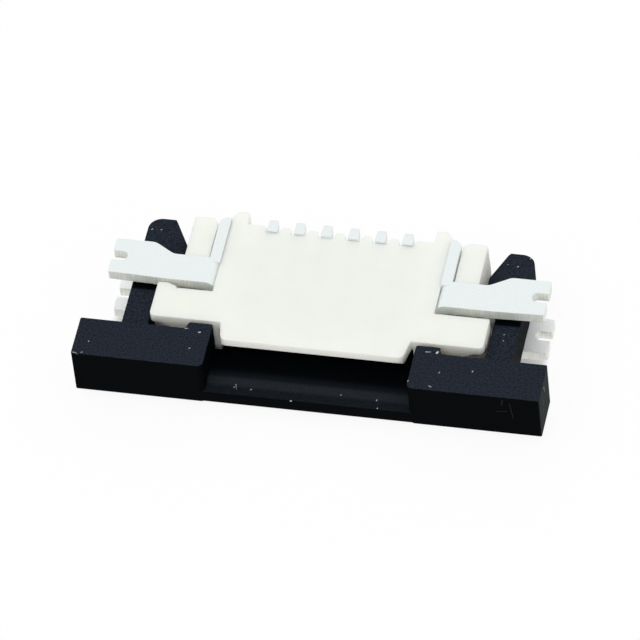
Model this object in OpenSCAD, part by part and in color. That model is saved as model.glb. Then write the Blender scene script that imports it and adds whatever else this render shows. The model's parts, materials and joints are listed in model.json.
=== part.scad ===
// Slide-lock connector for flat flexible cable, surface mounted.
// The part lies with its solder side up. X runs across the contacts, Y from the
// slider to the solder tails, Z up. Depths are counted from the slider's front face,
// and the whole part is then moved so that the origin is under its middle.

/* [Contacts] */
// Number of contacts
positions = 6; // [2:1:20]
// Distance between neighbouring contacts
pitch = 1.0; // [0.9:0.05:1.5]
// Thickness of the plated strip that contacts and hold-downs are stamped from
sheet = 0.4; // [0.3:0.02:0.44]
// Height by which the solder faces stand proud of the housing
proud = 0.1; // [0.04:0.02:0.2]
// Length of a tail behind the housing's rear wall
tail_len = 0.56; // [0.46:0.02:0.9]
// Height of the flat of a solder tail
tail_h = 0.36; // [0.25:0.02:0.45]
// Height of the springy upper beam at its root
beam_h = 0.3; // [0.2:0.02:0.36]
// Length of the upper beam, from the root to its nose
beam_len = 3.25; // [2.6:0.05:3.4]
// Length of the nose that meets the cable
nose_w = 0.62; // [0.4:0.02:0.8]
// Depth of the nose, below the beam
nose_drop = 0.46; // [0.3:0.02:0.48]
// Length of the lower beam, from the root
heel_len = 2.3; // [1.5:0.05:2.6]
// Depth of the contact's root, from front to back
root_d = 0.7; // [0.5:0.05:0.8]
// Length by which the root stands out of the rear wall
root_out = 0.14; // [0.1:0.02:0.3]

/* [Housing] */
// Height of the housing
housing_h = 2.4; // [2.3:0.05:3.2]
// Thickness of the wall over the cable mouth
roof_t = 0.45; // [0.35:0.05:0.6]
// Height of the cable mouth and the slider's tongue together
mouth_h = 1.2; // [1.1:0.05:1.5]
// Height of the channels over the mouth for the contacts' upper beams
channel_h = 0.14; // [0.08:0.02:0.2]
// Height of the channels under the mouth for the contacts' heels
heel_h = 0.35; // [0.3:0.05:0.4]
// Gap between the cable's edge and the side of the mouth
cable_gap = 0.05; // [0.02:0.01:0.1]
// Wall between the mouth and the hold-down
cheek_t = 0.52; // [0.4:0.02:0.8]
// Length of the lip that reaches forward over the slider
lip_len = 0.8; // [0.4:0.05:0.9]
// Depth of an ear, from front to back
ear_d = 1.4; // [1.2:0.05:1.8]
// Reach of an ear beyond the side block
ear_reach = 0.7; // [0.5:0.02:0.9]
// Thickness of the ear's wing over the slider's corner
wing_t = 0.36; // [0.25:0.02:0.4]
// Depth of the wing's hollow, from the ear's front
wing_d = 0.55; // [0.4:0.05:0.8]
// Length of the mark behind one ear, on the side of the first contact
mark_len = 0.2; // [0.1:0.02:0.2]
// Width of a side block
side_w = 0.89; // [0.6:0.01:1.2]
// Outward lean of the side block's face at half its height
side_draft = 0.07; // [0:0.01:0.08]
// Length of a side block, from front to back
side_len = 1.9; // [1.4:0.05:2.2]
// Length of the rear ribs between the tails
rib_len = 0.3; // [0.2:0.02:0.4]
// Width of a rear rib
rib_w = 0.44; // [0.3:0.02:0.46]
// Width of a rear post
post_w = 0.6; // [0.4:0.05:0.7]
// Length of a rear post beyond the ribs
post_len = 0.55; // [0.3:0.05:0.7]

/* [Hold-downs] */
// Reach of a solder tab beyond the side block
tab_reach = 2.61; // [2.2:0.01:3.0]
// Depth of a tab where it leaves the housing
tab_neck_d = 1.2; // [0.9:0.05:1.3]
// Depth of a tab at its free end
tab_end_d = 1.6; // [1.4:0.05:2.0]
// Width of the notch in the tab's end
notch_w = 0.42; // [0.3:0.02:0.6]
// Depth of the notch in the tab's end
notch_d = 0.58; // [0.4:0.02:0.8]
// Distance beyond the ear at which the tab has its full depth
tab_flare = 0.45; // [0.3:0.05:0.8]
// Inner radius of the bends
bend_r = 0.06; // [0.04:0.01:0.2]
// Outer radius of the bends, coined a little tighter than the strip is thick
bend_out_r = 0.36; // [0.2:0.02:0.44]
// Height of the leg that is pressed into the housing
leg_h = 1.3; // [0.8:0.05:1.5]

/* [Slider] */
// Depth of the end blocks, from front to back
block_d = 1.7; // [1.4:0.05:2.0]
// Reach of an end block beyond the arm
block_reach = 1.39; // [1.0:0.05:1.8]
// Gap between the mouth's side and the block's inner face
block_gap = 0.18; // [0.12:0.02:0.3]
// Height of the slider's underside above the housing's
slider_lift = 0.45; // [0.42:0.01:0.5]
// Height of the flat front of the cross bar
bar_front_h = 0.54; // [0.4:0.02:0.6]
// Depth of the slope behind that front
bar_slope_d = 0.62; // [0.3:0.02:0.9]
// Thickness of the tongue under the cable
tongue_t = 0.36; // [0.3:0.02:0.46]
// Length of the tongue inside the housing
tongue_len = 2.5; // [2.0:0.05:3.0]
// Length of the tooth behind a block
tooth_len = 0.3; // [0.2:0.02:0.4]
// Width of the tooth behind a block
tooth_w = 0.97; // [0.7:0.02:1.3]
// Width of an arm
arm_w = 0.96; // [0.7:0.02:1.2]
// Reach of the barb from the arm's inner face
barb_reach = 0.62; // [0.45:0.01:0.65]
// Length of the barb's tip, before it slants back to the arm
barb_len = 0.92; // [0.5:0.02:1.0]
// Height of the slope on top of the barb
barb_slope_h = 0.3; // [0.1:0.05:0.4]
// Length of the arm beyond the side block
arm_over = 0.12; // [0:0.02:0.3]
// Travel from the locked to the open place
travel = 1.6; // [1.2:0.05:1.7]
// Running gap between slider and housing
run_gap = 0.08; // [0.06:0.01:0.1]
// Gap between the tooth and the housing when locked
seat_gap = 0.15; // [0.1:0.01:0.2]

/* [Hidden] */

// Colours
cream = [0.93, 0.92, 0.84];
black = [0.13, 0.14, 0.17];
tin = [0.86, 0.88, 0.9];

// Rounding
eps = 0.01;          // overlap that makes a cut or a joint clean
arc_steps = 5;       // straight pieces in a rounded corner
small_r = 0.06;      // smallest moulded corner
lip_r = 0.25;        // front corners of the lip
ear_r = 0.18;        // front corner of an ear
side_r = 0.25;       // outer rear corner of a side block
rib_r = 0.2;         // corner of the outermost rib
block_r = 0.2;       // inner front corner of an end block
arm_root_r = 0.42;   // corner between an arm and its block
arm_end_r = 0.28;    // outer corner of an arm's end
ramp_r = 0.2;        // blend between the bar's slope and the tongue
strip_r = 0.08;      // corners of stamped strip
beam_r = 0.2;        // blends between a contact's beam and its nose
flare_r = 0.5;       // blends where a tab widens

// Small clearances and chamfers
slot_gap = 0.02;     // gap on each side of a contact in its slot
channel_gap = 0.03;  // gap above and below a contact in its slot
channel_end = 0.2;   // free length of a channel beyond the contact
groove_gap = 0.06;   // spare width beside the hold-down's leg
groove_lead = 0.2;   // chamfer at the groove's rear opening
leg_inset = 0.18;    // length of that chamfer, and of the leg's own
wall_inset = 0.42;   // from the side block's end forward to the rear wall
post_chamfer = 0.28; // length of the slanted outer corner of a post
lead = 0.14;         // lead-in chamfer at the mouth
lip_taper = 0.06;    // how much narrower the lip is than the mouth, on each side
lip_round = 0.16;    // and how much narrower still at its front edge
wing_slope = 0.2;    // rise of the wing's underside towards its edge
tab_gap = 0.3;       // from the ear's back to the tab
fit_gap = 0.05;      // between the tab and the side block
tab_skew = 0.06;     // how far the tab's free end stands back
flare_len = 0.75;    // length over which a tab widens
barb_gap = 0.05;     // slack between the open slider's barb and the ear
tongue_gap = 0.03;   // under the tongue
heel_gap = 0.06;     // from the tongue down to a contact's heel

// Across, from the middle outwards
mouth_x = (positions + 1) * pitch / 2 + cable_gap;
web_x = mouth_x + cheek_t;
groove_x = web_x + sheet + groove_gap;
side_x = groove_x + side_w;
ear_x = side_x + ear_reach;
arm_x = ear_x + run_gap;
arm_out_x = arm_x + arm_w;
block_x = mouth_x + block_gap;
block_out_x = arm_out_x + block_reach;
tab_out_x = side_x + tab_reach;
lip_x = mouth_x - lip_taper;
lip_front_x = lip_x - lip_round;
tongue_x = mouth_x - run_gap;
slot_w = sheet + 2 * slot_gap;

// From front to back
tooth_y = block_d + tooth_len;
front_y = tooth_y + seat_gap;
lip_y = front_y - lip_len;
ear_y = front_y + ear_d;
tab_y = ear_y + tab_gap;
neck_y = tab_y + tab_neck_d;
side_y = neck_y + fit_gap;
side_end_y = side_y + side_len;
rear_y = side_end_y - wall_inset;
rib_y = rear_y + rib_len;
post_y = rib_y + post_len;
tail_y = rear_y + tail_len;
root_end_y = rear_y + root_out;
root_y = root_end_y - root_d;
cavity_y = root_y - channel_gap;
barb_y = ear_y + travel + barb_gap;
barb_end_y = barb_y + barb_len;
arm_end_y = side_end_y + arm_over;

// Upwards
top_z = housing_h + proud;
roof_z = housing_h - roof_t;
floor_z = roof_z - mouth_h;
slot_roof_z = roof_z + channel_h;
slot_floor_z = floor_z - heel_h;
tab_z = top_z - sheet;
wing_z = housing_h - wing_t;
arm_z = sheet + run_gap;
arm_top_z = min(tab_z - 2 * run_gap, wing_z - run_gap);
tongue_z = floor_z + tongue_gap;
ramp_z = tongue_z + tongue_t;

// The whole part's front edge, with the origin under its middle
y0 = -post_y / 2;

// Points of an arc that rounds the corner b between its neighbours a and c
function unit(v) = v / norm(v);
function corner(a, b, c, r) =
  let (
    u = unit(a - b),
    w = unit(c - b),
    half = acos(u * w) / 2,
    middle = b + unit(u + w) * r / sin(half),
    from = b + u * r / tan(half) - middle,
    to = b + w * r / tan(half) - middle
  )
  [for (i = [0 : arc_steps]) middle + r * unit(from * (1 - i / arc_steps) + to * i / arc_steps)];

// An outline of [x, y, radius] corners, with each corner rounded by its radius
function xy(p) = [p[0], p[1]];
function rounded(path) =
  let (n = len(path))
  [for (i = [0 : n - 1])
    each path[i][2] > 0
      ? corner(xy(path[(i + n - 1) % n]), xy(path[i]), xy(path[(i + 1) % n]), path[i][2])
      : [xy(path[i])]];

// A right-hand half outline, closed by its own mirror image
function both_sides(half) =
  let (n = len(half))
  concat(half, [for (i = [1 : n]) let (p = half[n - i]) [-p[0], p[1], p[2]]]);

// Flat outline in X and Y, raised from z1 to z2
module plate(path, z1, z2) {
  translate([0, 0, z1]) linear_extrude(z2 - z1) polygon(rounded(path));
}

// Outline in Y and Z, drawn out along X from x1 to x2
module along_x(path, x1, x2) {
  translate([x1, 0, 0]) rotate([90, 0, 90]) linear_extrude(x2 - x1) polygon(rounded(path));
}

// Outline in X and Z, drawn out along Y from y1 to y2
module along_y(path, y1, y2) {
  translate([0, y2, 0]) rotate([90, 0, 0]) linear_extrude(y2 - y1) polygon(rounded(path));
}

module box(x1, x2, y1, y2, z1, z2) {
  translate([x1, y1, z1]) cube([x2 - x1, y2 - y1, z2 - z1]);
}

module on_both_sides() {
  children();
  mirror([1, 0, 0]) children();
}

function contact_x(i) = (i - (positions - 1) / 2) * pitch;

// ---------------------------------------------------------------- housing

// Everything that the housing fills, seen from above, without its ribs
module housing_plan() {
  rib_edge_x = contact_x(positions - 1) + rib_w / 2;
  post_in_x = web_x - post_w;
  lean_x = side_x + side_draft;
  plate(both_sides([
    [lip_front_x, lip_y, lip_r],
    [lip_x, front_y, 0],
    [ear_x, front_y, ear_r],
    [ear_x, ear_y, small_r],
    [web_x, ear_y, 0],
    [web_x, side_y, 0],
    [lean_x, side_y, 0],
    [lean_x, side_end_y, side_r],
    [groove_x + groove_lead, side_end_y, 0],
    [groove_x, side_end_y - leg_inset, 0],
    [web_x, side_end_y - leg_inset, 0],
    [web_x, post_y - post_chamfer, 0],
    [web_x - post_w / 3, post_y, small_r],
    [post_in_x, post_y, small_r],
    [post_in_x, rib_y, 0],
    [rib_edge_x, rib_y, rib_r],
    [rib_edge_x, rear_y, 0]
  ]), 0, housing_h);
}

// Half-round ribs on the rear wall, one between each pair of tails
module rear_ribs() {
  sunk = rib_len / 3;
  for (i = [0 : positions - 2]) {
    x = contact_x(i) + pitch / 2;
    plate([
      [x - rib_w / 2, rear_y - sunk, 0],
      [x + rib_w / 2, rear_y - sunk, 0],
      [x + rib_w / 2, rib_y, rib_w * 0.46],
      [x - rib_w / 2, rib_y, rib_w * 0.46]
    ], 0, housing_h);
  }
}

// A low mark behind the ear on the first contact's side, over the arm's barb
module first_mark() {
  flat = ear_reach / 2;
  plate([
    [-ear_x, ear_y - eps, 0],
    [-ear_x, ear_y + mark_len, small_r],
    [-ear_x + flat, ear_y + mark_len, small_r],
    [-side_x, ear_y + mark_len / 3, 0],
    [-side_x, ear_y - eps, 0]
  ], wing_z, housing_h);
}

// The side block's outer face leans out to a parting line at half height
module side_lean_cut() {
  lean_x = side_x + side_draft;
  along_y([
    [side_x, -eps, 0],
    [lean_x + eps, -eps, 0],
    [lean_x + eps, housing_h + eps, 0],
    [side_x, housing_h + eps, 0],
    [lean_x, housing_h / 2, 0]
  ], side_y - eps, side_end_y + eps);
}

// Mouth for the cable and the slider's tongue, with a lead-in under the lip
module mouth_cut() {
  box(-mouth_x, mouth_x, front_y - eps, cavity_y, floor_z, roof_z);
  box(-ear_x, ear_x, lip_y - eps, front_y, -eps, roof_z);
  along_x([
    [lip_y - eps, roof_z - eps, 0],
    [lip_y + lead, roof_z - eps, 0],
    [lip_y - eps, roof_z + lead, 0]
  ], -lip_x, lip_x);
  along_x([
    [front_y - eps, floor_z + eps, 0],
    [front_y - eps, floor_z - lead, 0],
    [front_y + lead, floor_z + eps, 0]
  ], -mouth_x, mouth_x);
}

// Slot for one contact: through the rear wall, and a channel in roof and floor
module contact_slot(x) {
  x1 = x - slot_w / 2;
  x2 = x + slot_w / 2;
  nose_y = root_y - beam_len;
  heel_y = root_y - heel_len;
  box(x1, x2, cavity_y - eps, rear_y + eps, slot_floor_z, slot_roof_z);
  box(x1, x2, nose_y - channel_end, cavity_y, roof_z - eps, slot_roof_z);
  box(x1, x2, heel_y - channel_end, cavity_y, slot_floor_z, floor_z + eps);
}

// Room under the ear's wing for the rounded corner of the slider
module wing_cut() {
  along_y([
    [side_x, -eps, 0],
    [ear_x + eps, -eps, 0],
    [ear_x + eps, wing_z, 0],
    [ear_x - ear_reach / 2, wing_z, 0],
    [side_x, wing_z - wing_slope, 0]
  ], front_y - eps, front_y + wing_d);
}

module housing() {
  color(cream) difference() {
    union() {
      housing_plan();
      rear_ribs();
      first_mark();
    }
    mouth_cut();
    for (i = [0 : positions - 1]) contact_slot(contact_x(i));
    on_both_sides() {
      side_lean_cut();
      wing_cut();
      box(web_x, groove_x, side_y - eps, side_end_y + eps, top_z - leg_h, housing_h + eps);
    }
  }
}

// ---------------------------------------------------------------- contacts

// One fork contact, blanked from strip: tail, root, springy upper beam and heel
module contact(i) {
  beam_z = slot_roof_z - channel_gap;
  heel_z = slot_floor_z + channel_gap;
  heel_top_z = tongue_z - heel_gap;
  nose_y = root_y - beam_len;
  nose_z = beam_z - beam_h * 2 / 3 - nose_drop;
  taper = beam_h / 6;
  color(tin) along_x([
    [tail_y, top_z - tail_h, strip_r],
    [tail_y, top_z, strip_r],
    [rear_y + slot_gap, top_z, strip_r / 2],
    [rear_y + slot_gap, beam_z, 0],
    [root_y + channel_end, beam_z, 0],
    [nose_y + nose_w / 2, beam_z - taper, beam_r],
    [nose_y, beam_z - 2 * taper, strip_r],
    [nose_y + nose_w / 10, nose_z + strip_r, strip_r / 2],
    [nose_y + nose_w * 0.4, nose_z, strip_r],
    [nose_y + nose_w * 0.65, nose_z, strip_r],
    [nose_y + nose_w, beam_z - beam_h + taper, beam_r],
    [root_y, beam_z - beam_h, strip_r],
    [root_y, heel_top_z, strip_r],
    [root_y - heel_len, heel_top_z, strip_r / 2],
    [root_y - heel_len, heel_z, strip_r / 2],
    [root_end_y, heel_z, strip_r],
    [root_end_y, top_z - tail_h, strip_r]
  ], contact_x(i) - sheet / 2, contact_x(i) + sheet / 2);
}

// ---------------------------------------------------------------- hold-downs

// Outline of a tab seen from above: a neck that widens to a notched end
module tab_plan() {
  end_y = tab_y + tab_skew;
  mid_y = end_y + tab_end_d / 2;
  notch_x = tab_out_x - notch_d;
  wide_x = ear_x + tab_flare;
  narrow_x = wide_x - flare_len;
  plate([
    [web_x, tab_y, 0],
    [ear_x, tab_y, 0],
    [tab_out_x, end_y, strip_r],
    [tab_out_x, mid_y - notch_w / 2, small_r],
    [notch_x, mid_y - notch_w / 2, notch_w * 0.45],
    [notch_x, mid_y + notch_w / 2, notch_w * 0.45],
    [tab_out_x, mid_y + notch_w / 2, small_r],
    [tab_out_x, end_y + tab_end_d, strip_r],
    [wide_x, end_y + tab_end_d, flare_r],
    [narrow_x, neck_y, flare_r],
    [web_x, neck_y, 0]
  ], -eps, top_z + eps);
}

// The strip bent to a channel: two tabs joined by a web in the housing's notch
module tab_channel() {
  end_x = tab_out_x + eps;
  along_y([
    [end_x, 0, 0],
    [end_x, sheet, 0],
    [web_x + sheet, sheet, bend_r],
    [web_x + sheet, tab_z, bend_r],
    [end_x, tab_z, 0],
    [end_x, top_z, 0],
    [web_x, top_z, bend_out_r],
    [web_x, 0, bend_out_r]
  ], tab_y - eps, tab_y + tab_skew + tab_end_d + eps);
}

// Leg behind the web, pressed down into the groove beside the side block
module leg() {
  leg_end_y = side_end_y + slot_gap;
  plate([
    [web_x, neck_y - leg_inset, 0],
    [web_x + sheet, neck_y - leg_inset, 0],
    [web_x + sheet, leg_end_y - leg_inset, 0],
    [web_x + sheet / 2, leg_end_y, small_r],
    [web_x, leg_end_y, 0]
  ], top_z - leg_h, top_z);
}

module hold_down() {
  color(tin) union() {
    intersection() {
      tab_plan();
      tab_channel();
    }
    leg();
  }
}

// ---------------------------------------------------------------- slider

// End block with the tooth that meets the housing when locked
module end_block() {
  tooth_x = block_x + tooth_w;
  plate([
    [block_x, 0, block_r],
    [block_out_x, 0, small_r],
    [block_out_x, block_d, small_r],
    [tooth_x, block_d, 0],
    [tooth_x - tooth_len / 3, tooth_y, tooth_len * 0.4],
    [block_x, tooth_y, small_r]
  ], slider_lift, housing_h);
}

// Arm with its barb, and the rounded corner that joins it to the block
module arm() {
  barb_x = arm_x - barb_reach;
  root_in_x = arm_x - arm_root_r - small_r;
  root_out_x = arm_out_x + arm_over;
  inside_y = block_d - arm_root_r;
  difference() {
    plate([
      [root_out_x, inside_y, 0],
      [root_out_x, block_d - eps, 0],
      [arm_out_x, block_d + arm_over, small_r],
      [arm_out_x, arm_end_y, arm_end_r],
      [arm_x, arm_end_y, small_r],
      [barb_x, barb_end_y, small_r],
      [barb_x, barb_y, small_r],
      [arm_x, barb_y, small_r],
      [arm_x, block_d - eps, arm_root_r],
      [root_in_x, block_d - eps, 0],
      [root_in_x, inside_y, 0]
    ], arm_z, arm_top_z);
    barb_slope(barb_x);
  }
}

// Slope on the top of the barb, down towards the housing
module barb_slope(barb_x) {
  along_y([
    [barb_x - eps, arm_top_z - barb_slope_h, 0],
    [arm_x - small_r, arm_top_z + eps, 0],
    [barb_x - eps, arm_top_z + eps, 0]
  ], barb_y - eps, arm_end_y + eps);
}

// Cross bar with its sloping front, and the tongue that presses the cable up
module bar_and_tongue() {
  bar_top_z = slider_lift + bar_front_h;
  bar_end_y = tooth_y - small_r;
  joint_y = bar_end_y - small_r;
  tip_y = front_y + tongue_len;
  tip_h = tongue_t * 0.45;
  along_x([
    [0, slider_lift, small_r],
    [0, bar_top_z, small_r],
    [bar_slope_d, ramp_z, ramp_r],
    [bar_end_y, ramp_z, 0],
    [bar_end_y, slider_lift, 0]
  ], -block_x - block_r, block_x + block_r);
  along_x([
    [joint_y, tongue_z, 0],
    [joint_y, ramp_z, 0],
    [tip_y - 2 * tongue_t, ramp_z, ramp_r],
    [tip_y, tongue_z + tip_h, small_r],
    [tip_y, tongue_z, small_r]
  ], -tongue_x, tongue_x);
}

module slider() {
  color(black) union() {
    bar_and_tongue();
    on_both_sides() {
      end_block();
      arm();
    }
  }
}

// ---------------------------------------------------------------- parts

module placed() {
  translate([0, y0, 0]) children();
}

placed() housing();
placed() slider();
placed() hold_down();  // hold_down_right
placed() mirror([1, 0, 0]) hold_down();  // hold_down_left
placed() contact(0);  // contact_1
placed() contact(1);  // contact_2
placed() contact(2);  // contact_3
placed() contact(3);  // contact_4
placed() contact(4);  // contact_5
placed() contact(5);  // contact_6
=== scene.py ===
# %% [markdown]
# # A slide-lock connector for flat flexible cable
# This lesson dresses a small electronic part. Its solids already exist: a cream housing, a black
# slider, six contacts and two hold-downs. They come in as a fixed frame, at their real size, in
# metres. The lesson rounds their edges, gives each its real finish, and lights them as a
# catalogue would. The part is only 17 mm wide, so every value below is a small one.

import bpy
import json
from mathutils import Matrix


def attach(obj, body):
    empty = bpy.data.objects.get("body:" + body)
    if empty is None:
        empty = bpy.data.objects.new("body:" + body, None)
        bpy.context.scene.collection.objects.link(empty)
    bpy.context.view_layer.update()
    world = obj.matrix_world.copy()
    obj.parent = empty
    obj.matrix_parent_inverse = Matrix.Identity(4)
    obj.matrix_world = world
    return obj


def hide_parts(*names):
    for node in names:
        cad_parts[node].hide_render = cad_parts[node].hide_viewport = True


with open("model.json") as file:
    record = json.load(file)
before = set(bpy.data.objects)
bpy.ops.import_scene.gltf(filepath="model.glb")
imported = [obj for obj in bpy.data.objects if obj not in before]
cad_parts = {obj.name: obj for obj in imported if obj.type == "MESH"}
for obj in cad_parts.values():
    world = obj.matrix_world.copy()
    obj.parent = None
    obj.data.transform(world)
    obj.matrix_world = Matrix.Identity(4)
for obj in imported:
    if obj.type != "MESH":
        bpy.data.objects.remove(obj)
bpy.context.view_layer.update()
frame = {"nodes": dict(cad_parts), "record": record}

# %% [markdown]
# ## Units and small helpers
# The scene is in metres and the part is thought of in millimetres, so one value converts them.
# Colours are written as the hex values that a paint program shows. Blender's shaders want linear
# values, so one function turns the one into the other.

# %% Units and colours
import json
import math

import bmesh
import bpy
from mathutils import Matrix, Vector

MM = 0.001


def colour(code):
    """Linear red, green, blue and alpha of an sRGB hex colour such as "#eff2eb"."""
    parts = [int(code[i:i + 2], 16) / 255 for i in (1, 3, 5)]
    linear = [p / 12.92 if p <= 0.04045 else ((p + 0.055) / 1.055) ** 2.4 for p in parts]
    return (*linear, 1.0)


print("one millimetre is", MM, "m; mid grey is", round(colour("#808080")[0], 3))

# %% [markdown]
# A material here is a tree of nodes. One helper adds any node, with its settings, and either sets
# each input or links it to another node's output. Every material below is built with it.
#
# Inputs go by name. Only a Mix node needs numbers, because it has an A, a B and a Result for each
# kind of data that it can mix, all with the same names.

# %% Adding a node
COLOUR_A, COLOUR_B, MIXED = 6, 7, 2   # a Mix node's sockets for colours


def add(material, kind, inputs=None, **settings):
    """One new node: settings are its properties, inputs are values or other nodes' outputs."""
    new = material.node_tree.nodes.new(kind)
    for name, value in settings.items():
        setattr(new, name, value)
    for name, value in (inputs or {}).items():
        if isinstance(value, bpy.types.NodeSocket):
            material.node_tree.links.new(value, new.inputs[name])
        else:
            new.inputs[name].default_value = value
    return new


def empty_material(name):
    """A new material with nothing in it but its output node, and the socket for its shader."""
    material = bpy.data.materials.new(name)
    material.use_nodes = True
    material.node_tree.nodes.clear()
    output = add(material, "ShaderNodeOutputMaterial")
    return material, output.inputs["Surface"]


print("colours of a Mix node go into sockets", COLOUR_A, "and", COLOUR_B)

# %% [markdown]
# ## Rounded edges
# No real edge is perfectly sharp. A mould leaves a radius of a few hundredths of a millimetre,
# and a punch rolls the edge of the strip over. At this size these edges catch a thin line of
# light, and that line is most of what tells the eye that a thing is real.
#
# A solid comes in as loose triangles. A copy is merged, its flat faces are joined again, and then
# every edge that turns by more than a set angle gets a bevel. The bevel's own faces are marked in
# an attribute, so that a material can tell a worn edge from the face beside it.

# %% Softening a solid's edges
FLAT = math.radians(0.5)      # faces that differ by less than this are one flat face
TURN = math.radians(32)       # an edge that turns by more than this is rounded
SAME = 0.0005 * MM            # vertices closer than this are one
EDGE_MARK = "rounded_edge"    # 1 on the faces that round an edge and 0 elsewhere


def softened(node, radius, segments, reshape=None):
    """A copy of one solid, reshaped if asked, with its edges rounded to about radius, in metres."""
    mesh = bmesh.new()
    mesh.from_mesh(frame["nodes"][node].data)
    edge_mark = mesh.faces.layers.float.new(EDGE_MARK)
    bmesh.ops.remove_doubles(mesh, verts=mesh.verts, dist=SAME)
    bmesh.ops.dissolve_limit(
        mesh, angle_limit=FLAT, verts=mesh.verts, edges=mesh.edges, use_dissolve_boundaries=False
    )
    if reshape:
        reshape(mesh)
    turning = [e for e in mesh.edges if e.is_manifold and e.calc_face_angle(0) > TURN]
    rounding = bmesh.ops.bevel(
        mesh, geom=turning, offset=radius, offset_type="OFFSET", affect="EDGES",
        segments=segments, profile=0.5, material=-1, clamp_overlap=True, loop_slide=True
    )
    for face in rounding["faces"]:
        face[edge_mark] = 1.0
    bmesh.ops.remove_doubles(mesh, verts=mesh.verts, dist=SAME)
    for face in mesh.faces:
        face.smooth = True
    data = bpy.data.meshes.new(node + "_finished")
    mesh.to_mesh(data)
    mesh.free()
    data.set_sharp_from_angle(angle=TURN)
    piece = bpy.data.objects.new(node + "_finished", data)
    bpy.context.scene.collection.objects.link(piece)
    shading = piece.modifiers.new("flat faces stay flat", "WEIGHTED_NORMAL")
    shading.keep_sharp = True
    return piece


print("edges that turn by more than", round(math.degrees(TURN)), "degrees will be rounded")

# %% [markdown]
# The finished copy then takes the solid's place, with the material that it is given. The record
# says which body the solid belongs to, so that the copy moves with it.

# %% Taking a solid's place
def dress(node, radius, segments, material, reshape=None):
    """Rounds one solid's edges, gives it a material, and puts the copy in the solid's place."""
    piece = softened(node, radius, segments, reshape)
    piece.data.materials.append(material)
    body = next(b for b, nodes in frame["record"]["behaviour"]["bodies"].items() if node in nodes)
    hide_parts(node)
    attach(piece, body)
    print(piece.name, "has", len(piece.data.polygons), "faces and rides on", body)


# %% [markdown]
# ## Where a finish changes
# All three finishes change over the part, and some of the change is painted light. The slider's
# top is a grainy slate and its front almost black, partly from a mould spark-eroded above and
# polished in front and partly painted light. The housing's walls are painted lighter and yellower
# than its flat faces, as painted light. Stamped strip is smooth on its rolled faces and torn on its
# cut ones. Two masks tell such places apart: one reads the way a face points, the other reads where
# on the part it is. Both use the object's own space, so that a finish moves with its piece.

# %% Masks for a direction and for a place
ACROSS, ALONG = 0.35, 0.85    # how much of a face's normal lies along the axis, from 0 to 1


def facing(material, axis):
    """1 where a face points along the axis, either way, and 0 where it stands across it."""
    normal = add(material, "ShaderNodeTexCoord").outputs["Normal"]
    split = add(material, "ShaderNodeSeparateXYZ", {"Vector": normal})
    size = add(material, "ShaderNodeMath", {0: split.outputs[axis]}, operation="ABSOLUTE")
    ramp = add(material, "ShaderNodeMapRange", {
        "Value": size.outputs["Value"], "From Min": ACROSS, "From Max": ALONG
    }, interpolation_type="SMOOTHSTEP")
    return ramp.outputs["Result"]


def beyond(material, axis, start, end, either_side=False):
    """Rises from 0 at start to 1 at end along one axis, both in millimetres."""
    place = add(material, "ShaderNodeTexCoord").outputs["Object"]
    along = add(material, "ShaderNodeSeparateXYZ", {"Vector": place}).outputs[axis]
    if either_side:
        along = add(material, "ShaderNodeMath", {0: along}, operation="ABSOLUTE").outputs["Value"]
    rise = add(material, "ShaderNodeMapRange", {
        "Value": along, "From Min": start * MM, "From Max": end * MM
    }, interpolation_type="SMOOTHSTEP")
    return rise.outputs["Result"]


print("a face counts in full up to", round(math.degrees(math.acos(ALONG))), "degrees off the axis")

# %% [markdown]
# Moulded and plated skins are never even. Their clouds, fibres and grit are all noise, each with a
# size in millimetres, which is the real one unless that would be too fine to show. Noise keeps
# mostly between 0.3 and 0.7, so it is stretched from there to the range that the finish needs.

# %% Grain of a real size
QUIET, LOUD = 0.3, 0.7        # the range that noise mostly keeps to


def grain(material, size, low=QUIET, high=LOUD, detail=3.0, drawn=(1.0, 1.0, 1.0)):
    """Noise from low to high, with lumps of that size in metres, or shorter where it is drawn."""
    place = add(material, "ShaderNodeTexCoord").outputs["Object"]
    scaled = add(material, "ShaderNodeMapping", {"Vector": place, "Scale": drawn})
    noise = add(material, "ShaderNodeTexNoise", {
        "Vector": scaled.outputs["Vector"], "Scale": 1 / size, "Detail": detail, "Roughness": 0.55
    })
    stretched = add(material, "ShaderNodeMapRange", {
        "Value": noise.outputs["Fac"], "From Min": QUIET, "From Max": LOUD,
        "To Min": low, "To Max": high
    })
    return stretched.outputs["Result"]


print("lumps of 0.06 mm need a noise scale of", round(1 / (0.06 * MM)))

# %% [markdown]
# ## The housing's plastic
# The housing is moulded liquid crystal polymer in its natural colour, an opaque cream that looks
# almost white from above. It has no paint. Its walls are painted a little lighter and yellower than
# its upper faces, painted light for the shade that they stand in, and every face has a fine satin.
#
# Thin walls of this plastic let some light through. It enters at the top, wanders a fraction of a
# millimetre, loses some blue and leaves at the sides, so that shaded walls glow a warm cream.
# Subsurface scattering does the same, and its scale is that fraction of a millimetre.

# %% Moulded cream polymer
FLOW = 1.3 * MM        # size of the faint clouds that the melt leaves
SATIN = 0.06 * MM      # grain of the mould's satin, a little coarser than real, so that it shows
WANDER = 0.45 * MM     # how far light travels inside the plastic


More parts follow.
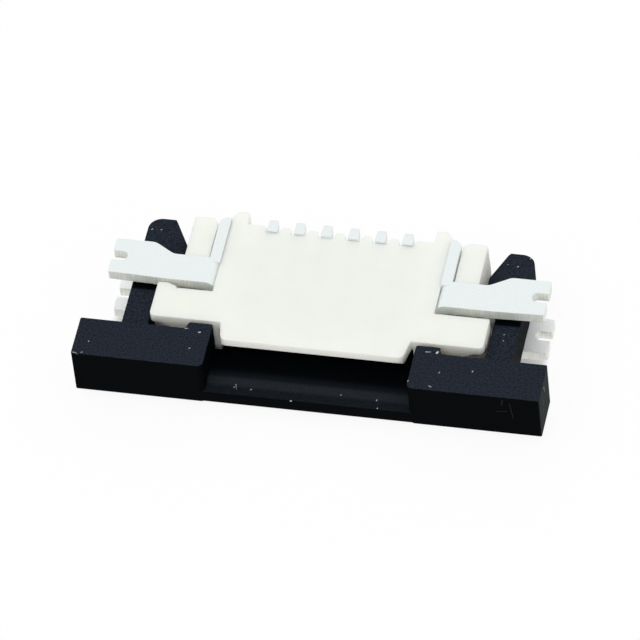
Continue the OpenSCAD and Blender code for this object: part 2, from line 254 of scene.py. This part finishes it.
def cream_polymer():
    material, surface = empty_material("natural liquid crystal polymer, moulded")
    # Painted light: the walls are painted lighter and yellower than the upper faces, for their
    # shade.
    tone = add(material, "ShaderNodeMix", {
        "Factor": facing(material, "Z"),
        COLOUR_A: colour("#fdfcf2"), COLOUR_B: colour("#f4f7ef")
    }, data_type="RGBA")
    clouded = add(material, "ShaderNodeMix", {
        "Factor": grain(material, FLOW, 0.0, 0.25),
        COLOUR_A: tone.outputs[MIXED], COLOUR_B: colour("#e8ebe0")
    }, data_type="RGBA")
    satin = add(material, "ShaderNodeMix", {
        "Factor": grain(material, SATIN, 0.0, 0.3),
        COLOUR_A: clouded.outputs[MIXED], COLOUR_B: colour("#e4e7dc")
    }, data_type="RGBA")
    relief = add(material, "ShaderNodeBump", {
        "Height": grain(material, SATIN), "Strength": 0.1, "Distance": 0.01 * MM
    })
    shader = add(material, "ShaderNodeBsdfPrincipled", {
        "Base Color": satin.outputs[MIXED],
        "Roughness": grain(material, SATIN, 0.5, 0.62),
        "Normal": relief.outputs["Normal"],
        "IOR": 1.6,
        "Specular IOR Level": 0.3,
        "Subsurface Weight": 0.7,
        "Subsurface Radius": (1.0, 0.97, 0.88),
        "Subsurface Scale": WANDER,
    })
    material.node_tree.links.new(shader.outputs["BSDF"], surface)
    return material


cream = cream_polymer()
print("made", cream.name)

# %% [markdown]
# ## The slider's plastic
# The slider is black polyamide with short glass fibres in it. Its upper faces, its ends and the
# slope of its bar are a grainy, slightly blue slate, partly from the spark-eroded mould and the
# fibres under its skin, and partly painted light. Its fronts are almost black. The tongue stays
# black under the housing's lip as painted shade, and each arm has a black painted shadow in front
# of the hold-down's tab.
#
# Handling has left marks on it. The resin whitens where it is torn, so a chip shows as a light
# fleck and a scratch as a faint line. A pale band along the bar's edge is a painted highlight,
# drawn as one more line. Every mark is a stroke with two ends, a width and a strength, and the
# distance from the stroke says where it shows.

# %% Where the slider is marked
CHIPS = [
    # one end and the other in millimetres, then half the width, then the strength
    ((-8.47, -3.66, 2.40), (-8.30, -3.70, 2.38), 0.025, 0.55),
    ((-8.18, -3.64, 2.40), (-8.14, -3.60, 2.40), 0.022, 0.60),
    ((-8.03, -3.10, 2.40), (-8.01, -3.06, 2.40), 0.022, 0.80),
    ((-4.16, -2.15, 2.40), (-4.10, -2.13, 2.40), 0.028, 0.95),
    ((-4.36, -2.93, 2.40), (-4.33, -2.91, 2.40), 0.020, 0.85),
    ((-4.68, -2.03, 2.40), (-4.57, -2.01, 2.38), 0.028, 0.60),
    ((-7.02, 2.84, 1.94), (-6.98, 2.88, 1.94), 0.022, 0.70),
    ((-6.68, 2.86, 1.94), (-6.64, 2.88, 1.94), 0.020, 0.60),
    ((4.52, -1.97, 2.40), (4.56, -1.90, 2.36), 0.050, 1.00),
    ((4.12, -1.97, 2.40), (4.36, -1.95, 2.38), 0.020, 0.85),
    ((4.77, -2.88, 2.40), (4.79, -2.84, 2.40), 0.020, 0.75),
    ((5.95, -2.67, 2.40), (5.97, -2.62, 2.40), 0.025, 0.75),
    ((4.53, -3.52, 2.40), (4.62, -3.56, 2.40), 0.025, 0.50),
    ((3.74, -3.42, 2.40), (3.75, -3.34, 2.38), 0.022, 0.60),
    ((6.67, -0.72, 1.94), (6.69, -0.70, 1.94), 0.020, 0.60),
    ((6.65, -0.44, 1.94), (6.67, -0.42, 1.94), 0.020, 0.50),
    ((6.95, 3.25, 1.94), (6.98, 3.29, 1.94), 0.028, 0.75),
    ((6.56, 2.81, 1.94), (6.58, 2.83, 1.94), 0.022, 0.80),
    ((6.17, 2.86, 1.94), (6.19, 2.87, 1.94), 0.020, 0.50),
    ((-2.66, -3.30, 1.08), (-2.62, -3.48, 1.03), 0.020, 0.55),
    ((-2.72, -3.42, 1.05), (-2.70, -3.40, 1.05), 0.020, 0.70),
    ((-2.12, -3.46, 1.04), (-2.06, -3.42, 1.05), 0.022, 0.60),
    ((-0.60, -3.72, 0.98), (-0.57, -3.70, 0.97), 0.031, 0.90),
    ((2.50, -3.36, 1.08), (2.51, -3.33, 1.08), 0.022, 0.85),
    ((2.58, -3.66, 0.99), (2.60, -3.63, 0.99), 0.022, 0.85),
    ((1.17, -3.30, 1.09), (1.20, -3.28, 1.09), 0.020, 0.50),
    ((8.55, -2.82, 2.12), (8.55, -2.79, 2.02), 0.040, 0.60),
    ((8.55, -2.76, 1.90), (8.55, -2.73, 1.78), 0.028, 0.40),
    ((8.55, -3.10, 1.75), (8.55, -3.12, 1.52), 0.020, 0.22),
    ((8.55, -3.13, 1.30), (8.55, -3.16, 1.16), 0.018, 0.18),
]
SCRATCHES_AND_HIGHLIGHT = [
    ((7.22, -3.715, 2.26), (7.17, -3.715, 1.98), 0.016, 0.11),
    ((6.97, -3.715, 1.60), (7.34, -3.715, 1.66), 0.016, 0.08),
    ((7.46, -3.715, 2.12), (7.56, -3.715, 1.31), 0.016, 0.07),
    ((-3.60, -3.20, 1.13), (3.74, -3.20, 1.13), 0.240, 0.035),   # a painted highlight along the bar's edge
    ((2.52, -3.10, 1.14), (2.58, -3.60, 1.00), 0.020, 0.07),
    ((3.76, -2.60, 1.14), (3.78, -3.60, 1.00), 0.020, 0.22),
]
print("chips and scratches on the slider:", len(CHIPS), "and", len(SCRATCHES_AND_HIGHLIGHT))

# %% Drawing a stroke
RAGGED = 0.05 * MM     # size of the bends in a mark's outline


def near_stroke(material, place, start, end, reach):
    """1 along the line from start to end, fading to 0 at reach from it, all in metres."""
    line = end - start
    offset = add(material, "ShaderNodeVectorMath", {
        0: place, 1: tuple(start)
    }, operation="SUBTRACT")
    along = add(material, "ShaderNodeVectorMath", {
        0: offset.outputs["Vector"], 1: tuple(line / line.length_squared)
    }, operation="DOT_PRODUCT")
    held = add(material, "ShaderNodeClamp", {"Value": along.outputs["Value"]})
    foot = add(material, "ShaderNodeVectorMath", {
        0: tuple(line), "Scale": held.outputs["Result"]
    }, operation="SCALE")
    away = add(material, "ShaderNodeVectorMath", {
        0: offset.outputs["Vector"], 1: foot.outputs["Vector"]
    }, operation="DISTANCE")
    inside = add(material, "ShaderNodeMapRange", {
        "Value": away.outputs["Value"], "From Min": reach, "From Max": reach / 2
    })
    return inside.outputs["Result"]


def marks(material, strokes, waver):
    """The strongest stroke at each point. Noise moves the place by waver, so none is straight."""
    place = add(material, "ShaderNodeTexCoord").outputs["Object"]
    ragged = add(material, "ShaderNodeTexNoise", {"Vector": place, "Scale": 1 / RAGGED})
    shift = add(material, "ShaderNodeVectorMath", {
        0: ragged.outputs["Color"], 1: (0.5, 0.5, 0.5)
    }, operation="SUBTRACT")
    moved = add(material, "ShaderNodeVectorMath", {
        0: shift.outputs["Vector"], 1: (waver, waver, waver), 2: place
    }, operation="MULTIPLY_ADD").outputs["Vector"]
    strongest = 0.0
    for start, end, reach, strength in strokes:
        start, end = Vector(start) * MM, Vector(end) * MM
        faded = add(material, "ShaderNodeMath", {
            0: near_stroke(material, moved, start, end, reach * MM), 1: strength
        }, operation="MULTIPLY")
        strongest = add(material, "ShaderNodeMath", {
            0: strongest, 1: faded.outputs["Value"]
        }, operation="MAXIMUM").outputs["Value"]
    return strongest


print("a mark's outline bends every", round(RAGGED / MM, 2), "mm")

# %% [markdown]
# The slate faces, whose lighter tone is partly painted light, are told apart from the black ones
# by the way they point and by where they are. The numbers below are the soft borders of those
# places, in millimetres along one axis. Worn edges, scratches, the painted highlight along the
# bar and chips then go over the tones, the faintest first.

# %% Tones of the slider's faces
TOP = (1.5, 1.7)              # height, up to the blocks' and arms' upper faces
BAR = (-2.55, -3.05)          # forward, down the slope of the bar
ENDS = (8.2, 8.4)             # outward, to the slider's two ends
TAB_SHADOW = (-0.08, 0.04), (1.3, 1.1)   # back, the two borders of the painted shadow in front of a tab
BLACK = "#030406", "#06090c"
FIBRE = 0.06 * MM             # size of a fleck of fibres, coarser than real, so that it shows


def slider_tones(material):
    """Black, with a slate that is partly eroded finish and partly painted light, and painted shade.
    """
    fibres = grain(material, FIBRE, 0.0, 1.0)

    def grainy(tones):
        """Two close tones, mixed by the fibres under the skin."""
        dark, light = tones
        return add(material, "ShaderNodeMix", {
            "Factor": fibres, COLOUR_A: colour(dark), COLOUR_B: colour(light)
        }, data_type="RGBA").outputs[MIXED]

    up, sideways = facing(material, "Z"), facing(material, "X")
    end = beyond(material, "X", *ENDS, either_side=True)
    # Painted shadow: the arms' tops just in front of each tab are kept black, as the tab's shade.
    painted_tab_shadow = add(material, "ShaderNodeMath", {
        0: beyond(material, "Y", *TAB_SHADOW[0]), 1: beyond(material, "Y", *TAB_SHADOW[1])
    }, operation="MULTIPLY").outputs["Value"]
    slate = grainy(BLACK)
    # Lighter slate on upper faces, ends and bar slope: partly eroded finish, partly painted light.
    # Black left under the lip: painted shade.
    for place, direction, tones in (
        (beyond(material, "Y", *BAR), up, ("#0f1317", "#1b2026")),
        (beyond(material, "Z", *TOP), up, ("#12161d", "#2f3540")),
        (end, sideways, ("#161b1a", "#2f3533")),
        (painted_tab_shadow, up, BLACK),
    ):
        share = add(material, "ShaderNodeMath", {0: place, 1: direction}, operation="MULTIPLY")
        slate = add(material, "ShaderNodeMix", {
            "Factor": share.outputs["Value"], COLOUR_A: slate, COLOUR_B: grainy(tones)
        }, data_type="RGBA").outputs[MIXED]
    return slate


print("the slate begins", TOP[0], "mm up, and", -BAR[0], "mm forward on the bar")

# %% Wear over the tones
PATCH = 0.3 * MM       # size of the patches in which an edge is worn
WORN = 0.6             # how far such a patch has gone from the plain tone


def worn_down(material, tone):
    """That tone with light edges, scratches, a painted highlight on the bar and chips over it."""
    edge = add(material, "ShaderNodeAttribute", attribute_name=EDGE_MARK).outputs["Fac"]
    patchy = add(material, "ShaderNodeMath", {
        0: edge, 1: grain(material, PATCH, -0.7, 1.0)
    }, operation="MULTIPLY", use_clamp=True)
    worn = add(material, "ShaderNodeMath", {
        0: patchy.outputs["Value"], 1: WORN
    }, operation="MULTIPLY")
    for factor, code in (
        (worn.outputs["Value"], "#6f767b"),
        # Scratches, and the painted highlight along the bar's edge.
        (marks(material, SCRATCHES_AND_HIGHLIGHT, 0.02 * MM), "#8a8f92"),
        (marks(material, CHIPS, 0.05 * MM), "#c9cdca"),
    ):
        tone = add(material, "ShaderNodeMix", {
            "Factor": factor, COLOUR_A: tone, COLOUR_B: colour(code)
        }, data_type="RGBA").outputs[MIXED]
    return tone


print("worn patches are", round(PATCH / MM, 1), "mm long")

# %% Moulded black polyamide
GRIT = 0.04 * MM       # size of the mould's spark-eroded pits


def black_polyamide():
    material, surface = empty_material("black glass-filled polyamide, moulded")
    relief = add(material, "ShaderNodeBump", {
        "Height": grain(material, GRIT), "Strength": 0.2, "Distance": 0.01 * MM
    })
    shader = add(material, "ShaderNodeBsdfPrincipled", {
        "Base Color": worn_down(material, slider_tones(material)),
        "Roughness": grain(material, FIBRE, 0.5, 0.65),
        "Normal": relief.outputs["Normal"],
        "IOR": 1.53,
        "Specular IOR Level": 0.01,
    })
    material.node_tree.links.new(shader.outputs["BSDF"], surface)
    return material


black = black_polyamide()
print("made", black.name)

# %% [markdown]
# ## Tin plate
# Contacts and hold-downs are stamped from copper alloy strip and plated with matt tin, which is
# an even, slightly blue white with very faint lines along the rolling direction. The edges that
# the punch cut are duller and a little greyer, with fine upright streaks where the metal tore. On
# the hold-downs these edges face along Y, and on the free ends of the tabs along X. The tin low
# down, on the lower tabs, is painted whiter, as painted light against the upper tabs' shade.

# %% A mask for cut edges
CUT_Y = 4.8            # how far out the cut edges that face along Y begin, in millimetres
CUT_X = 6.5            # and those that face along X
SHARP = 0.001          # half the width of that border


def cut_edges(material):
    """1 on a hold-down's punched edges and 0 on its rolled faces and on the contacts."""
    strongest = 0.0
    for axis, start in (("Y", CUT_Y), ("X", CUT_X)):
        cut = add(material, "ShaderNodeMath", {
            0: facing(material, axis),
            1: beyond(material, "X", start - SHARP, start + SHARP, either_side=True)
        }, operation="MULTIPLY")
        strongest = add(material, "ShaderNodeMath", {
            0: strongest, 1: cut.outputs["Value"]
        }, operation="MAXIMUM").outputs["Value"]
    return strongest


print("cut edges begin", CUT_Y, "mm and", CUT_X, "mm from the middle")

# %% Stamped and tinned strip
LINES = 0.6 * MM       # length of a rolling line, twelve times the space between two of them
MOTTLE = 0.05 * MM     # grain of matt tin, coarser than real, so that it shows
STREAK = 0.5 * MM      # length of a streak on a cut edge
PAINTED_LIGHT_LOW = (1.3, 1.1)       # height below which the tin is painted whiter as painted light, down to the lower tabs, in mm


def tin_plate():
    material, surface = empty_material("matt tin plate on copper alloy, stamped")
    cut = cut_edges(material)
    streaks = grain(material, STREAK, 0.0, 1.0, detail=2.0, drawn=(10.0, 10.0, 1.0))
    edge = add(material, "ShaderNodeMix", {
        "Factor": streaks, COLOUR_A: colour("#e6e8e3"), COLOUR_B: colour("#f2f4ef")
    }, data_type="RGBA")
    rolled = add(material, "ShaderNodeMix", {
        "Factor": grain(material, MOTTLE, 0.0, 0.45),
        COLOUR_A: colour("#f3f8f8"), COLOUR_B: colour("#dfe6e6")
    }, data_type="RGBA")
    # Painted light: the tin low down is painted whiter against the shade of the upper tabs.
    rolled = add(material, "ShaderNodeMix", {
        "Factor": beyond(material, "Z", *PAINTED_LIGHT_LOW),
        COLOUR_A: rolled.outputs[MIXED], COLOUR_B: colour("#feffff")
    }, data_type="RGBA")
    tone = add(material, "ShaderNodeMix", {
        "Factor": cut, COLOUR_A: rolled.outputs[MIXED], COLOUR_B: edge.outputs[MIXED]
    }, data_type="RGBA")
    dull = add(material, "ShaderNodeMix", {
        "Factor": cut, "A": grain(material, MOTTLE, 0.58, 0.68), "B": 0.85
    })
    height = add(material, "ShaderNodeMath", {
        0: grain(material, LINES, detail=4.0, drawn=(1.0, 12.0, 1.0)), 1: grain(material, MOTTLE)
    }, operation="ADD")
    relief = add(material, "ShaderNodeBump", {
        "Height": height.outputs["Value"], "Strength": 0.12, "Distance": 0.01 * MM
    })
    shader = add(material, "ShaderNodeBsdfPrincipled", {
        "Base Color": tone.outputs[MIXED],
        "Metallic": 1.0,
        "Roughness": dull.outputs["Result"],
        "Normal": relief.outputs["Normal"],
    })
    material.node_tree.links.new(shader.outputs["BSDF"], surface)
    return material


tin = tin_plate()
print("made", tin.name)

# %% [markdown]
# ## Dressing the pieces
# Each solid now gets its edge and its finish. The slider's edges are the roundest and those of
# the strip the crispest. The housing comes first.

# %% Housing
HOUSING_EDGE, SLIDER_EDGE, STRIP_EDGE = 0.035 * MM, 0.05 * MM, 0.025 * MM

dress("housing", HOUSING_EDGE, 2, cream)

# %% [markdown]
# The outer corner at the end of each arm is rounder in the real part than in the solid. A few cuts
# across the arms give the corner enough vertices, and each is then held inside a larger circle.

# %% Slider with rounder arm ends
CORNER = 0.5 * MM      # radius of the corner
CUTS = (0.0, 0.25, 0.45, 0.65, 0.85)   # where it is cut, as shares of that radius


def round_arm_ends(mesh):
    end = max(v.co.y for v in mesh.verts)
    outside = max(abs(v.co.x) for v in mesh.verts if v.co.y > end - CORNER)
    for share in CUTS:
        bmesh.ops.bisect_plane(
            mesh, geom=mesh.verts[:] + mesh.edges[:] + mesh.faces[:], dist=0.001 * MM,
            plane_co=(0.0, end - CORNER * (1 - share), 0.0), plane_no=(0.0, 1.0, 0.0)
        )
    for vertex in mesh.verts:
        into = (vertex.co.y - (end - CORNER)) / CORNER
        if into > 0:
            inside = CORNER * (1 - math.sqrt(max(0.0, 1 - into ** 2)))
            reach = min(abs(vertex.co.x), outside - inside)
            vertex.co.x = math.copysign(reach, vertex.co.x)
    print("arm ends rounded to", round(CORNER / MM, 2), "mm")


dress("slider", SLIDER_EDGE, 3, black, round_arm_ends)

# %% Hold-downs
for name in ("hold_down_left", "hold_down_right"):
    dress(name, STRIP_EDGE, 2, tin)

# %% [markdown]
# The contacts sit inside the housing and show at its back and in the cable's mouth. A solder tail
# is coined at its end, so that it narrows a little there and has no sharp corners, where the
# solid's end is square. The vertices near the end are drawn in towards the tail's middle, the more
# the nearer they are to the end, before the edges are rounded.

# %% Contacts with coined tails
COINED = 0.16 * MM     # length of a tail's end that narrows
NARROWED = 0.35        # share of its width that the very end loses


def coin_tail(mesh):
    end = max(v.co.y for v in mesh.verts)
    middle = (max(v.co.x for v in mesh.verts) + min(v.co.x for v in mesh.verts)) / 2
    for vertex in mesh.verts:
        into = (vertex.co.y - (end - COINED)) / COINED
        if into > 0:
            vertex.co.x = middle + (vertex.co.x - middle) * (1 - NARROWED * into ** 2)


for name in sorted(frame["nodes"]):
    if name.startswith("contact"):
        dress(name, STRIP_EDGE, 2, tin, coin_tail)

# %% [markdown]
# ## The camera
# A part this small is seen from a distance through a long lens, so its far edges look hardly
# smaller than its near ones. The camera looks down on the slider's side, a little from the right,
# and the whole picture is turned a few degrees.

# %% Camera
AZIMUTH = math.radians(16.47)     # how far round to the right the camera stands
ELEVATION = math.radians(49.04)   # how far up
ROLL = math.radians(-6.75)        # turn of the picture
DISTANCE = 285.4 * MM
FOCUS = Vector((0.0, -3.715 * MM, 2.4 * MM))   # middle of the slider's upper front edge
OFF_RIGHT = 0.593 * MM            # the picture's centre, right of that point and above it
OFF_UP = 2.038 * MM

forward = Vector((
    -math.sin(AZIMUTH) * math.cos(ELEVATION),
    math.cos(AZIMUTH) * math.cos(ELEVATION),
    -math.sin(ELEVATION),
))
level = Vector((math.cos(AZIMUTH), math.sin(AZIMUTH), 0.0))
upward = level.cross(forward)
right = level * math.cos(ROLL) + upward * math.sin(ROLL)
top = upward * math.cos(ROLL) - level * math.sin(ROLL)

lens = bpy.data.cameras.new("long lens")
lens.sensor_width = 36.0
lens.lens = 450.0
lens.clip_start = 10 * MM
camera = bpy.data.objects.new("camera", lens)
bpy.context.scene.collection.objects.link(camera)
place = FOCUS - forward * DISTANCE + right * OFF_RIGHT + top * OFF_UP
turn = Matrix((right, top, -forward)).transposed()
camera.matrix_world = Matrix.Translation(place) @ turn.to_4x4()
bpy.context.scene.camera = camera
print("the camera stands", round(place.length / MM), "mm away")

# %% [markdown]
# ## Floor and light
# The part lies on white paper. The paper is plainly white to the camera and to anything that
# reflects it, and it keeps a light shadow beside the part. Seen straight through the narrow gaps
# between the pieces it is ordinary paper in deep shade, because such gaps are dark in reality.

# %% Paper under the part
SHADED = [
    # left, right, front and back of the paper that is hidden under the pieces, in millimetres
    (-7.1, 7.1, -3.4, 3.3),
    (-8.15, 8.15, -3.4, 0.75),
]
FADE = 0.4             # how softly the shade ends, in millimetres


def hidden_paper(material):
    """1 on the paper that lies under the part and 0 beside it."""
    darkest = 0.0
    for left, right, front, back in SHADED:
        shade = 1.0
        for axis, edge, inward in (
            ("X", left, FADE), ("X", right, -FADE), ("Y", front, FADE), ("Y", back, -FADE)
        ):
            shade = add(material, "ShaderNodeMath", {
                0: shade, 1: beyond(material, axis, edge, edge + inward)
            }, operation="MULTIPLY").outputs["Value"]
        darkest = add(material, "ShaderNodeMath", {
            0: darkest, 1: shade
        }, operation="MAXIMUM").outputs["Value"]
    return darkest


print("places under the part that are kept in shade:", len(SHADED))

# %% What looks plainly white
def plainly_seen(material):
    """1 where the camera looks, straight or by way of metal or glass, and 0 for other light."""
    rays = add(material, "ShaderNodeLightPath")
    seen = add(material, "ShaderNodeMath", {
        0: rays.outputs["Is Camera Ray"], 1: rays.outputs["Is Glossy Ray"]
    }, operation="MAXIMUM")
    seen = add(material, "ShaderNodeMath", {
        0: seen.outputs["Value"], 1: rays.outputs["Is Transmission Ray"]
    }, operation="MAXIMUM")
    return seen.outputs["Value"]


print("paper and room look plain white to the camera, to metal and to glass")

# %% White paper
GLOW = 0.92            # share of the paper that is plain white, and the rest takes shadows
PAPER = 600 * MM       # radius of the sheet


def white_paper():
    material, surface = empty_material("white studio paper")
    camera_ray = add(material, "ShaderNodeLightPath").outputs["Is Camera Ray"]
    gap = add(material, "ShaderNodeMath", {
        0: camera_ray, 1: hidden_paper(material)
    }, operation="MULTIPLY")
    open_glow = add(material, "ShaderNodeMapRange", {
        "Value": gap.outputs["Value"], "To Min": GLOW, "To Max": 0.0
    })
    share = add(material, "ShaderNodeMath", {
        0: open_glow.outputs["Result"], 1: plainly_seen(material)
    }, operation="MULTIPLY")
    paper = add(material, "ShaderNodeBsdfDiffuse", {"Color": colour("#f8f8f8")})
    glow = add(material, "ShaderNodeEmission", {"Color": colour("#ffffff"), "Strength": 1.0})
    both = add(material, "ShaderNodeMixShader", {
        "Fac": share.outputs["Value"], 1: paper.outputs["BSDF"], 2: glow.outputs["Emission"]
    })
    material.node_tree.links.new(both.outputs["Shader"], surface)
    return material


sheet = bmesh.new()
bmesh.ops.create_circle(sheet, cap_ends=True, segments=96, radius=PAPER)
paper_mesh = bpy.data.meshes.new("paper")
sheet.to_mesh(paper_mesh)
sheet.free()
paper_mesh.materials.append(white_paper())
paper = bpy.data.objects.new("paper", paper_mesh)
bpy.context.scene.collection.objects.link(paper)
print("paper under the part, at height 0, with a radius of", round(PAPER / MM), "mm")

# %% [markdown]
# Small parts are lit by one large soft panel close overhead, which leaves every upper face even
# and lets the deep places go black. A smaller panel in front, a little to the left, lights the
# fronts. The room adds a weaker light from all round. To the camera and in reflections the room
# is plain white, so that the metal looks white too, and the panels don't show in it.

# %% The room
ROOM = 0.60            # strength of the light from all round
tent = bpy.data.worlds.new("pale room")
bpy.context.scene.world = tent
tent.use_nodes = True
tent.node_tree.nodes.clear()
strength = add(tent, "ShaderNodeMapRange", {
    "Value": plainly_seen(tent), "To Min": ROOM, "To Max": 1.0
})
sky = add(tent, "ShaderNodeBackground", {
    "Color": colour("#ffffff"), "Strength": strength.outputs["Result"]
})
add(tent, "ShaderNodeOutputWorld", {"Surface": sky.outputs["Background"]})
print("room at strength", ROOM)

# %% The two panels
def soft_panel(name, place, aim, width, bright):
    """A square panel facing a point; its brightness is 1 for white paper in full light."""
    light = bpy.data.lights.new(name, "AREA")
    light.shape = "SQUARE"
    light.size = width
    light.energy = bright * math.pi * width ** 2
    holder = bpy.data.objects.new(name, light)
    holder.location = place
    holder.rotation_euler = (Vector(aim) - Vector(place)).to_track_quat("-Z", "Y").to_euler()
    holder.visible_glossy = False
    bpy.context.scene.collection.objects.link(holder)
    print(name, "of", round(light.energy, 2), "W")


soft_panel("overhead panel", (0.0, 0.1, 0.32), (0.0, 0.1, 0.0), 0.7, 0.50)
soft_panel("front panel", (-0.11, -0.27, 0.35), (0.0, 0.0, 0.0), 0.3, 1.35)

# %% [markdown]
# ## Plain colours
# The Standard view shows a colour as it was written.

# %% View
bpy.context.scene.view_settings.view_transform = "Standard"
